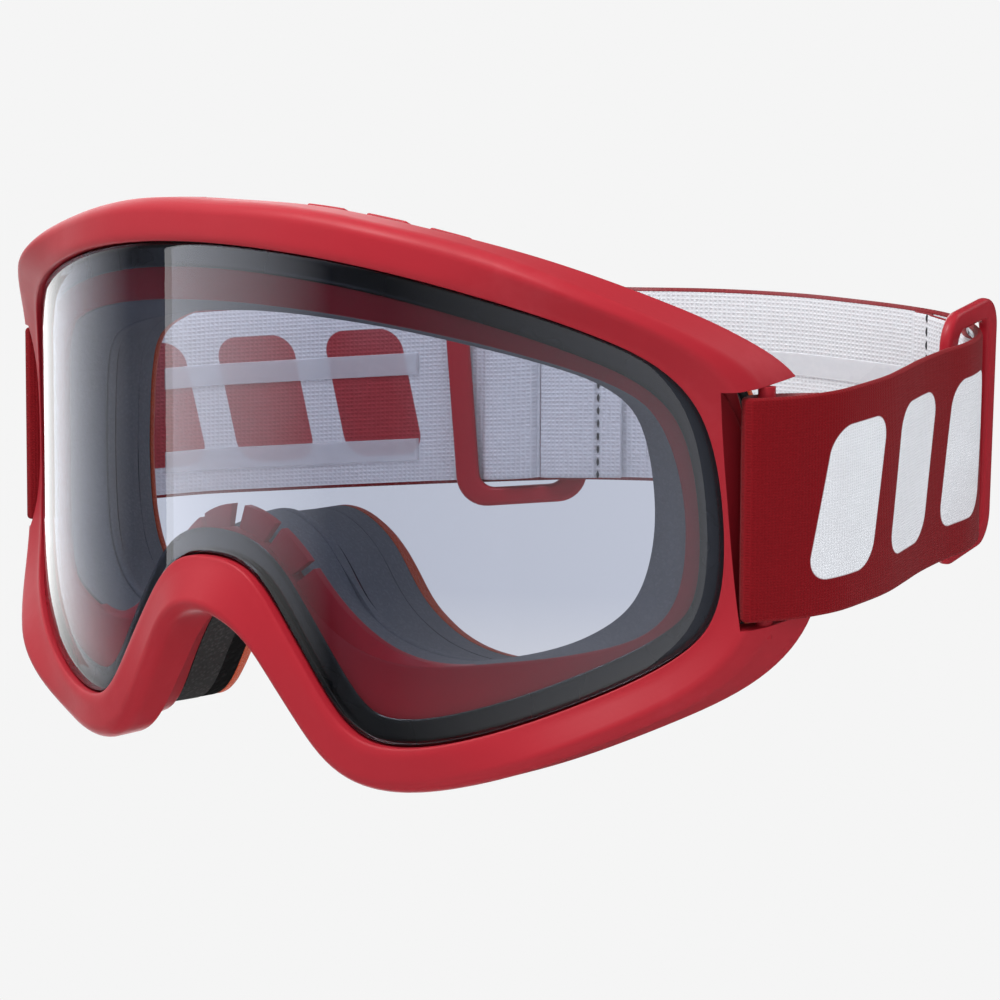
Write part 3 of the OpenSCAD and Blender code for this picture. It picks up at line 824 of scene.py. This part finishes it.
class GOGGLES_OT_shell(bpy.types.Operator):
    """Inner shelf for the lens, rear shell, liner, gasket and vent ribs"""

    bl_idname = "goggles.shell"
    bl_label = "Shell"

    def execute(self, context):
        front = LENS_T + 0.8
        outer = grown(LENS_LINE, 1)
        shelf = grown(LENS_LINE, -3)
        rails = [inside_lens(outer, front), inside_lens(shelf, front), on_lens(SEAT_LINE, SHELF_FRONT)]
        rails += [on_lens(curve, SHELF_BACK) for curve in (SEAT_LINE, shelf, outer)]
        seat = hoop("lens_shelf", filleted(rails, [0.3, 1.0, 0.7, 0.6, 0.3, 0.4], 5, 2), FINISHES["seat_red"])
        belongs(seat, "frame", "frame_red", "lens_seat")
        start = SKIRT_D + 0.1
        rim, opening, wall = grown(RIM_LINE, -WALL_T), OPEN_LINE, grown(WALL_LINE, -WALL_T)
        rails = [on_lens(WALL_LINE, start), on_rim(RIM_LINE, 0), on_rim(opening, 0), on_rim(opening, -WALL_T),
                 on_rim(rim, -WALL_T), on_lens(wall, start)]
        rear = hoop("rear_shell", filleted(rails, [0.4, 1.6, 0.8, 0.8, 1.4, 0.4], 5, 6),
                    [FINISHES["frame_red"], FINISHES["vent_foam"]])
        lined(rear, 20, 50)  # from the opening's edge to the inner side of the wall
        belongs(rear, "frame", "frame_red", "rear_frame")
        near, far = LENS_T + 0.3, LENS_T + 0.7
        # Black seal bead behind the lens's edge; its black also stands in for the shadow line at the bezel's
        # inner edge.
        bead = [inside_lens(grown(LENS_LINE, -1.8), near), inside_lens(grown(LENS_LINE, 0.25), near),
                inside_lens(grown(LENS_LINE, 0.25), far), inside_lens(grown(LENS_LINE, -1.8), far)]
        belongs(hoop("gasket_bead", filleted(bead, [0.15] * 4, 4), FINISHES["gasket_black"]),
                "frame", "gasket_black", "lens_gasket")
        flange = [mixed(on_rim(opening, -WALL_T), on_rim(rim, -WALL_T), s) - [0, 0.15, 0] for s in (0, 0.12)]
        rails = [on_lens(SEAT_LINE, 7.1), flange[0], flange[1], on_lens(grown(SEAT_LINE, 1.2), 9.6)]
        belongs(hoop("vent_liner", filleted(rails, [0.3, 0.6, 0.3, 0.4], 4, 8), FINISHES["vent_foam"]),
                "frame", "vent_foam", "vent_foam_upper", "vent_foam_lower")
        a, b = on_lens(WALL_LINE, start), on_rim(RIM_LINE, 0)
        sunk = np.array([0, 0, 0.3])
        tall = np.array([0, 0, TOP_BAR_H])
        near, far = mixed(a, b, 0.2), mixed(a, b, 0.75)
        rails = [near - sunk, near + tall, far + tall, far - sunk]
        ribs = patches("top_vent_bars", rails, both_halves(TOP_BARS), FINISHES["frame_red"])
        softened(ribs, 0.55, 3)
        belongs(ribs, "frame", "frame_red", "top_vent_ribs")
        from_nose = np.abs(np.arange(STATIONS) - STATIONS / 2)[:, None]
        share = np.clip((TOOTH_FAR - from_nose) / TOOTH_FADE, 0, 1)
        tips = mixed(SEAT_LINE, grown(SEAT_LINE, -TOOTH_OUT), share * share * (3 - 2 * share))
        root = grown(SEAT_LINE, 0.2)
        rails = [on_lens(root, SHELF_FRONT), on_lens(tips, 6.6), on_lens(tips, 8.2), on_lens(root, 6.9)]
        teeth = patches("nose_vent_teeth", rails, both_halves(NOSE_TEETH), FINISHES["frame_red"])
        softened(teeth, 0.35, 3)
        belongs(teeth, "frame", "frame_red", "nose_vent_ribs")
        return {"FINISHED"}


class GOGGLES_OT_lens(bpy.types.Operator):
    """Clear cylindrical lens with its printed band"""

    bl_idname = "goggles.lens"
    bl_label = "Lens"

    def execute(self, context):
        rings = 26
        centre = np.array([0.0, 15.0])
        verts, faces = [], []
        n = STATIONS
        edge = grown(LENS_LINE, -0.12)
        for depth, outline in ((0.0, edge), (LENS_T, edge)):
            base = len(verts)
            for k in range(rings, 0, -1):
                verts += list(inside_lens(centre + (outline - centre) * k / rings, depth))
            verts += list(inside_lens(centre[None, :], depth))
            tip = len(verts) - 1
            for k in range(rings - 1):
                faces += [(base + k * n + j, base + k * n + (j + 1) % n, base + (k + 1) * n + (j + 1) % n,
                           base + (k + 1) * n + j) for j in range(n)]
            last = base + (rings - 1) * n
            faces += [(last + j, last + (j + 1) % n, tip) for j in range(n)]
        half = len(verts) // 2
        rim = len(verts)
        verts += list(inside_lens(LENS_LINE, 0.12)) + list(inside_lens(LENS_LINE, LENS_T - 0.12))
        glass = len(faces)
        for a, b in ((0, rim), (rim, rim + n), (rim + n, half)):
            faces += [(a + j, b + j, b + (j + 1) % n, a + (j + 1) % n) for j in range(n)]
        obj = finished("clear_lens", np.array(verts), faces, [FINISHES["lens_clear"], FINISHES["lens_print"]])
        obj.data.polygons.foreach_set("material_index", [int(i >= glass) for i in range(len(faces))])
        belongs(obj, "lens", "lens_clear", "lens")
        width = sizes_now().print_width * 1000
        far, near = LENS_T + 0.04, LENS_T + 0.15
        rows = [grown(LENS_LINE, -0.1 - (width - 0.1) * k / 4) for k in range(5)]
        rails = [inside_lens(r, far) for r in rows] + [inside_lens(r, near) for r in reversed(rows)]
        belongs(hoop("lens_print_band", rails, FINISHES["lens_print"]), "lens", "lens_print", "lens_border")
        return {"FINISHED"}


class GOGGLES_OT_foam(bpy.types.Operator):
    """Three layers of face foam"""

    bl_idname = "goggles.foam"
    bl_label = "Face foam"

    def execute(self, context):
        def level(share, t):
            back = mixed(on_rim(RIM_LINE, 0.25), on_rim(OPEN_LINE, 0.25), share)
            face = mixed(on_face(RIM_LINE), on_face(OPEN_LINE), share)
            return mixed(back, face, t)

        layers = (("face_foam_base_pad", 0.0, 0.55, 0.0, [0.5, 0.6, 0.12, 0.12], "foam_base",
                   "face_foam_base"),
                  ("face_foam_middle_pad", 0.555, 0.85, 0.002, [0.5, 0.7, 0.12, 0.12], "foam_middle",
                   "face_foam_middle"),
                  ("face_foam_fleece_pad", 0.854, 1.0, 0.004, [0.5, 1.8, 1.8, 0.5], "foam_fleece",
                   "face_foam_fleece"))
        for name, low, high, pull, radii, finish, node in layers:
            outer, inner = 0.06 + pull, 0.92
            rails = filleted([level(outer, low), level(outer, high), level(inner, high), level(inner, low)],
                             radii, 5, 7)
            obj = hoop(name, rails, [FINISHES[finish], FINISHES["vent_foam"]])
            if finish != "foam_fleece":
                lined(obj, 24, 36)  # the side towards the eyes
            normals = [v.normal.copy() for v in obj.data.vertices]
            for v, normal in zip(obj.data.vertices, normals):
                lump = noise.noise(v.co * 45) + 0.4 * noise.noise(v.co * 160)
                v.co += normal * (0.00016 * lump)
            belongs(obj, "frame", finish, node)
        return {"FINISHED"}


def bulged(path, rise, level_a, level_b):
    """How far a doubled stretch stands inwards: it comes out of the ring, swells and settles."""
    t = np.linspace(0, 1, len(path))
    return level_a * (1 - t) + level_b * t + rise * np.sqrt(np.clip(np.sin(np.pi * t), 0, 1))


class GOGGLES_OT_strap(bpy.types.Operator):
    """Woven strap with its folds, silicone lines and stitches"""

    bl_idname = "goggles.strap"
    bl_label = "Strap"

    def execute(self, context):
        count = sizes_now().strap_samples
        sides = [FINISHES["strap_outer"], FINISHES["strap_inner"]]
        turn = [[x, y, PIVOT_Z] for x, y in TURN_IN]
        right_turn = ROUTE[-2:] + [[-x, y, z] for x, y, z in turn[::-1]]
        turn_left, turn_right = spline(turn + ROUTE[:2], 6)[:-1], spline(right_turn, 6)[1:]
        left = np.concatenate([turn_left, stretch(1, LEFT_END, count)])
        right = np.concatenate([stretch(RIGHT_START, 28, count), turn_right])
        left_from = route_length(1) - frames_along(left)[1][len(turn_left)]
        for side, path, at in (("left", left, left_from), ("right", right, route_length(RIGHT_START))):
            obj = webbing(f"strap_web_{side}", path, sides, start=at)
            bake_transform(obj)
            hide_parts(f"strap_loop_{side}", f"strap_side_{side}")
        belongs(webbing("strap_web_rear", stretch(LEFT_END + 0.01, RIGHT_START - 0.01, count), sides,
                        start=route_length(LEFT_END)), "strap", "strap_web", "strap_rear")
        low, high = -STRAP_W / 2 + 0.5, STRAP_W / 2 - 0.5
        plain = [FINISHES["strap_inner"]]
        for side, spans in DOUBLED.items():
            for k, (kind, rise) in enumerate(SWELLS):
                a, b, level_a, level_b = spans[k]
                path = stretch(a, b, 30)
                obj = webbing(f"strap_{kind}_{side}", path, plain, low=low, high=high,
                              side=bulged(path, rise, level_a, level_b),
                              start=route_length(PLAIN_FROM) + 0.3 * k)
                belongs(obj, "strap", "strap_web", *([f"strap_fold_{side}"] if kind == "fold" else []))
            seam = SEAM_AT[side]
            p = route_at(seam)
            tangent = route_at(seam + 0.05) - route_at(seam - 0.05)
            inward = np.array([tangent[1], -tangent[0], 0]) / np.hypot(tangent[0], tangent[1])
            line = [p + inward * 2.78 + [0, 0, z] for z in np.linspace(low + 0.8, high - 0.8, 24)]
            thread = stitched(f"strap_stitches_{side}", [line], sizes_now().stitch_spacing * 1000, 1.7, 0.5,
                              FINISHES["thread_dark"])
            belongs(thread, "strap", "strap_web")
        for side, a, b in GRIPS:
            path = stretch(a, b, 50)
            parts = [webbing(f"grip_{side}_{k}", path, [FINISHES["silicone_grip"]], thick=GRIP_T,
                             low=z - GRIP_W / 2, high=z + GRIP_W / 2, side=STRAP_T / 2 + 0.22,
                             edge=0.19, rows=3)
                     for k, z in enumerate(GRIP_HEIGHTS)]
            belongs(joined(f"silicone_lines_{side}", parts), "strap", "silicone_grip", f"grip_bands_{side}")
        return {"FINISHED"}


def joined(name, parts):
    """Several meshes as one piece."""
    bm = bmesh.new()
    for part in parts:
        bm.from_mesh(part.data)
    mesh = parts[0].data.copy()
    bm.to_mesh(mesh)
    bm.free()
    mesh.name = name
    obj = placed(name, mesh)
    for part in parts:
        bpy.data.objects.remove(part)
    return obj


class GOGGLES_OT_adjusters(bpy.types.Operator):
    """Moulded ring adjusters on the strap"""

    bl_idname = "goggles.adjusters"
    bl_label = "Adjusters"

    def execute(self, context):
        for side, u in BUCKLE_AT.items():
            p = route_at(u)
            along = route_at(u + 0.5) - route_at(u - 0.5)
            along /= np.linalg.norm(along)
            inward = np.array([along[1], -along[0], 0]) / np.hypot(along[0], along[1])
            up = np.cross(inward, along)
            up *= np.sign(up[2])
            turn = math.radians(TURN_LEFT if side == "left" else TURN_RIGHT)
            length = math.cos(turn) * along + math.sin(turn) * inward
            through = math.cos(turn) * inward - math.sin(turn) * along
            middle = p + inward * (BEND_IN if side == "right" else 0)

            def outline(w, h, r, depth):
                pts = []
                for cx, cy, a0 in ((1, 1, 0), (-1, 1, 90), (-1, -1, 180), (1, -1, 270)):
                    for a in np.radians(np.linspace(a0, a0 + 90, 10)):
                        pts.append(((w / 2 - r) * cx + r * math.cos(a), (h / 2 - r) * cy + r * math.sin(a)))
                full = []
                for k, (x, y) in enumerate(pts):
                    nx, ny = pts[(k + 1) % len(pts)]
                    full += [(x, y)] if math.hypot(nx - x, ny - y) < 3 else [
                        (x + (nx - x) * j / 8, y + (ny - y) * j / 8) for j in range(8)]
                return np.array([middle + length * x + up * y + through * depth for x, y in full])

            window, half = BUCKLE_L - 2 * BUCKLE_BAR, BUCKLE_T / 2
            rings = [outline(BUCKLE_L, BUCKLE_H, 6, -half), outline(BUCKLE_L, BUCKLE_H, 6, half),
                     outline(window, BUCKLE_WINDOW_H, 3, half), outline(window, BUCKLE_WINDOW_H, 3, -half)]
            obj = hoop(f"adjuster_ring_{side}", filleted(rings, [1.05] * 4, 6, 2), FINISHES["buckle_red"])
            belongs(obj, f"buckle_{side}", "buckle_red", f"buckle_{side}")
        return {"FINISHED"}


# Camera: place in metres, focal length in millimetres; azimuth, height and roll in degrees
CAMERA_AT = (0.50848, -0.52487, 0.09476)
CAMERA_LENS = 145.48
CAMERA_TURN = (42.0, 7.732, 0.268)
# Disc lights: name, azimuth and height in degrees, distance and size in metres, watts, colour
LIGHTS = (("key", -52, 42, 1.5, 1.1, 3.6, (1, 0.99, 0.98)),
          ("fill", 60, 20, 1.6, 1.2, 5.6, (0.97, 0.98, 1)),
          ("top", 20, 82, 1.4, 1.2, 2.6, (1, 1, 1)),
          ("rear", 165, 35, 1.6, 1.0, 3.2, (0.98, 0.99, 1)),
          ("inner", -6, 64, 0.42, 0.2, 1.3, (1, 1, 1)))
# Reflection cards: name, first and last azimuth in degrees, strength, share of it left at the end
CARDS = (("front_card", -57.5, -16, 2.7, 0.0), ("side_card", -140, -68, 3.2, 0.0),
         ("far_card", -4, 62, 0.07, 14.0))


class GOGGLES_OT_stage(bpy.types.Operator):
    """Pale floor, soft lights, reflection cards and the camera"""

    bl_idname = "goggles.stage"
    bl_label = "Stage"

    def execute(self, context):
        scene = context.scene
        scene.view_settings.view_transform = "Standard"
        scene.view_settings.look = "None"
        world = bpy.data.worlds.new("Pale studio")
        scene.world = world
        world.use_nodes = True
        tree = world.node_tree
        tree.nodes.clear()
        out = tree.nodes.new("ShaderNodeOutputWorld")
        path = tree.nodes.new("ShaderNodeLightPath")

        def background(colour, strength):
            node = tree.nodes.new("ShaderNodeBackground")
            node.inputs[0].default_value = colour + (1,)
            node.inputs[1].default_value = strength
            return node.outputs[0]

        def chosen(ray, otherwise, given):
            """The given background for one kind of ray, and another for the rest."""
            mix = tree.nodes.new("ShaderNodeMixShader")
            for socket, source in zip(mix.inputs, (path.outputs[ray], otherwise, given)):
                tree.links.new(source, socket)
            return mix.outputs[0]

        lit = background((0.97, 0.98, 1.0), 0.55)
        mirrored = chosen("Is Glossy Ray", lit, background((0.96, 0.98, 1.0), 0.07))
        shown = chosen("Is Camera Ray", mirrored, background((0.913, 0.913, 0.913), 1.0))
        tree.links.new(shown, out.inputs[0])
        self.floor()
        self.lights()
        self.camera(scene)
        return {"FINISHED"}

    def floor(self):
        low = cad_low[2] - sizes_now().floor_drop
        reach = 14.0
        mesh = bpy.data.meshes.new("floor")
        mesh.from_pydata([(x * reach, y * reach, low) for x, y in ((-1, -1), (1, -1), (1, 1), (-1, 1))],
                         [], [(0, 1, 2, 3)])
        obj = placed("floor", mesh)
        f = Finish("Pale floor")
        mesh.materials.append(f.set(
            Base_Color=f.tint(f.between(f.grain(3, 3), 0.3, 0.7, 0.0, 0.15), (0.93, 0.93, 0.93, 1),
                              (0.9, 0.9, 0.9, 1)),
            Roughness=0.95, Specular_IOR_Level=0.0))
        obj.visible_glossy = False
        obj.visible_camera = False

    def lights(self):
        for name, azimuth, height, reach, size, power, colour in LIGHTS:
            light = bpy.data.lights.new(name, "AREA")
            light.shape = "DISK"
            light.size = size
            light.energy = power
            light.color = colour
            obj = placed(name, light)
            a, e = math.radians(azimuth), math.radians(height)
            way = Vector((math.sin(a) * math.cos(e), -math.cos(a) * math.cos(e), math.sin(e)))
            obj.location = way * reach + Vector((0, 0.02, 0))
            obj.rotation_euler = (-way).to_track_quat("-Z", "Y").to_euler()
            obj.visible_glossy = name != "fill"
        for name, start, end, glow, fade in CARDS:
            self.card(name, start, end, glow, fade)

    def card(self, name, start, end, glow, fade):
        """Upright curved card seen only in reflections, bright at its start and fading to its end."""
        steps, reach = 24, 1.1
        verts, faces = [], []
        for k in range(steps + 1):
            a = math.radians(start + (end - start) * k / steps)
            for z in (-1.2, 1.0):
                verts.append((math.sin(a) * reach, -math.cos(a) * reach, z))
        for k in range(steps):
            faces.append((2 * k, 2 * k + 2, 2 * k + 3, 2 * k + 1))
        mesh = bpy.data.meshes.new(name)
        mesh.from_pydata(verts, [], faces)
        layer = mesh.color_attributes.new("Glow", "FLOAT_COLOR", "POINT")
        for i in range(len(verts)):
            share = 1 + (fade - 1) * (i // 2) / steps
            layer.data[i].color = (share, share, share, 1)
        f = Finish(name)
        glow_of = f.node("ShaderNodeAttribute", attribute_name="Glow")
        emit = f.node("ShaderNodeEmission", {"Color": glow_of.outputs["Color"], "Strength": glow})
        f.show(emit)
        mesh.materials.append(f.material)
        obj = placed(name, mesh)
        obj.visible_camera = obj.visible_diffuse = obj.visible_transmission = obj.visible_shadow = False

    def camera(self, scene):
        azimuth, height, roll = (math.radians(a) for a in CAMERA_TURN)
        data = bpy.data.cameras.new("Camera")
        data.sensor_width = 36.0
        data.lens = CAMERA_LENS
        data.clip_start, data.clip_end = 0.01, 60.0
        obj = placed("Camera", data)
        back = Vector((math.sin(azimuth) * math.cos(height), -math.cos(azimuth) * math.cos(height),
                       math.sin(height)))
        right = Vector((math.cos(azimuth), math.sin(azimuth), 0))
        up = back.cross(right)
        across = right * math.cos(roll) + up * math.sin(roll)
        upward = up * math.cos(roll) - right * math.sin(roll)
        turn = Matrix((across, upward, back)).transposed().to_4x4()
        obj.matrix_world = Matrix.Translation(CAMERA_AT) @ turn
        scene.camera = obj


class GOGGLES_PT_panel(bpy.types.Panel):
    """Lists the pieces and their settings"""

    bl_idname = "GOGGLES_PT_panel"
    bl_label = "Strapped goggles"
    bl_space_type = "VIEW_3D"
    bl_region_type = "UI"
    bl_category = "Goggles"

    def draw(self, context):
        for prop in GogglesSizes.__annotations__:
            self.layout.prop(context.scene.goggles_sizes, prop)
        for piece in PIECES:
            self.layout.operator(piece.bl_idname)


PIECES = (GOGGLES_OT_bezel, GOGGLES_OT_shell, GOGGLES_OT_lens, GOGGLES_OT_foam, GOGGLES_OT_strap,
          GOGGLES_OT_adjusters, GOGGLES_OT_stage)
CLASSES = (GogglesSizes,) + PIECES + (GOGGLES_PT_panel,)


def register():
    for cls in CLASSES:
        bpy.utils.register_class(cls)
    bpy.types.Scene.goggles_sizes = PointerProperty(type=GogglesSizes)


def unregister():
    del bpy.types.Scene.goggles_sizes
    for cls in reversed(CLASSES):
        bpy.utils.unregister_class(cls)


def main():
    register()
    make_finishes(sizes_now())
    for piece in PIECES:
        group, name = piece.bl_idname.split(".")
        getattr(getattr(bpy.ops, group), name)()


if __name__ == "__main__":
    main()
